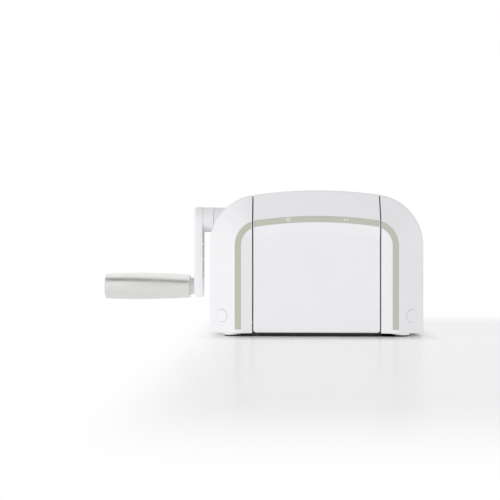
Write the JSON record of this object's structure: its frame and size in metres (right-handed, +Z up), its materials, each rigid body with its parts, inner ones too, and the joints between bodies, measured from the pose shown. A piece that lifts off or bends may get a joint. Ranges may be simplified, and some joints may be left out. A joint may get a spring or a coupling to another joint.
{
  "type": "die cutting machine",
  "caption": "Arched desk-top press for die cutting card: fold-down feed trays front and rear, geared steel rollers between side frames, and a side crank with a free-turning metal grip.",
  "frame": {"origin": "on the table, under the middle of the whole machine's outline, crank and grip included", "axes": "+X along the rollers away from the crank, +Y from the front tray to the rear tray in the feed direction, +Z up"},
  "size_m": [0.4216, 0.164, 0.187],
  "materials": {
    "white_shell": "satin moulded shell",
    "stripe": "satin inlay",
    "inner_plastic": "fine matt moulding",
    "frame_steel": "zinc plated sheet",
    "bright_steel": "ground",
    "gear_steel": "cut and oiled",
    "fastener": "zinc plated",
    "bush": "sintered bronze",
    "grip_metal": "satin turned",
    "grip_plastic": "moulded",
    "magnet": "nickel plated",
    "rubber": "matt"
  },
  "bodies": {
    "chassis": {"base_plate": "frame_steel", "left_side_frame": "frame_steel", "right_side_frame": "frame_steel", "frame_screws": "fastener", "tie_rods": "bright_steel", "tie_rod_screws": "fastener", "front_tower_cover": "white_shell", "rear_tower_cover": "white_shell", "tower_screws": "fastener", "strike_plates": "frame_steel", "front_bed": "inner_plastic", "rear_bed": "inner_plastic", "bed_screws": "fastener", "left_inner_panel": "inner_plastic", "right_inner_panel": "inner_plastic", "left_outer_cover": "white_shell", "right_outer_cover": "white_shell", "left_cover_stripes": "stripe", "right_cover_stripes": "stripe", "screw_caps": "white_shell", "cover_screws": "fastener", "foot_pads": "white_shell", "rubber_feet": "rubber", "foot_screws": "fastener", "roller_bushes": "bush", "crank_shaft_bushes": "bush", "idler_axle": "bright_steel", "idler_clip": "fastener"},
    "crank": {"crank_shaft": "bright_steel", "crank_pinion": "gear_steel", "crank_hub": "white_shell", "crank_arm": "white_shell", "crank_bolt": "fastener", "crank_clip": "fastener", "grip_spindle": "bright_steel", "grip_washer": "grip_plastic"},
    "grip": {"grip_sleeve": "grip_metal", "grip_end_cap": "grip_plastic", "grip_bushes": "grip_plastic"},
    "idler": {"idler_gear_large": "gear_steel", "idler_gear_small": "gear_steel"},
    "upper_roller_set": {"upper_roller": "bright_steel", "upper_roller_gear": "gear_steel", "upper_sync_gear": "gear_steel", "upper_roller_clips": "fastener"},
    "lower_roller_set": {"lower_roller": "bright_steel", "lower_sync_gear": "gear_steel", "lower_roller_clips": "fastener"},
    "front_tray": {"front_tray_shell": "white_shell", "front_tray_deck": "inner_plastic", "front_tray_stripe": "stripe", "front_tray_pins": "bright_steel", "front_tray_magnets": "magnet", "front_tray_screws": "fastener"},
    "rear_tray": {"rear_tray_shell": "white_shell", "rear_tray_deck": "inner_plastic", "rear_tray_stripe": "stripe", "rear_tray_pins": "bright_steel", "rear_tray_magnets": "magnet", "rear_tray_screws": "fastener"}
  },
  "joints": [
    {"name": "crank_turn", "type": "hinge", "parent": "chassis", "child": "crank", "pos_m": [-0.0769, 0, 0.1515], "axis": [1, 0, 0], "continuous": true},
    {"name": "grip_spin", "type": "hinge", "parent": "crank", "child": "grip", "pos_m": [-0.1529, 0, 0.061], "axis": [1, 0, 0], "continuous": true},
    {"name": "idler_turn", "type": "hinge", "parent": "chassis", "child": "idler", "pos_m": [-0.0269, 0, 0.10725], "axis": [1, 0, 0], "continuous": true},
    {"name": "upper_roller_turn", "type": "hinge", "parent": "chassis", "child": "upper_roller_set", "pos_m": [0.0731, 0, 0.067], "axis": [1, 0, 0], "continuous": true},
    {"name": "lower_roller_turn", "type": "hinge", "parent": "chassis", "child": "lower_roller_set", "pos_m": [0.0731, 0, 0.029], "axis": [1, 0, 0], "continuous": true},
    {"name": "front_tray_fold", "type": "hinge", "parent": "chassis", "child": "front_tray", "pos_m": [0.0731, -0.067, 0.016], "axis": [1, 0, 0], "range_deg": [0, 90]},
    {"name": "rear_tray_fold", "type": "hinge", "parent": "chassis", "child": "rear_tray", "pos_m": [0.0731, 0.067, 0.016], "axis": [-1, 0, 0], "range_deg": [0, 90]}
  ],
  "couplings": [
    {"joint": "idler_turn", "follows": "crank_turn", "ratio": -0.34091},
    {"joint": "upper_roller_turn", "follows": "crank_turn", "ratio": 0.19984},
    {"joint": "lower_roller_turn", "follows": "crank_turn", "ratio": -0.19984}
  ]
}
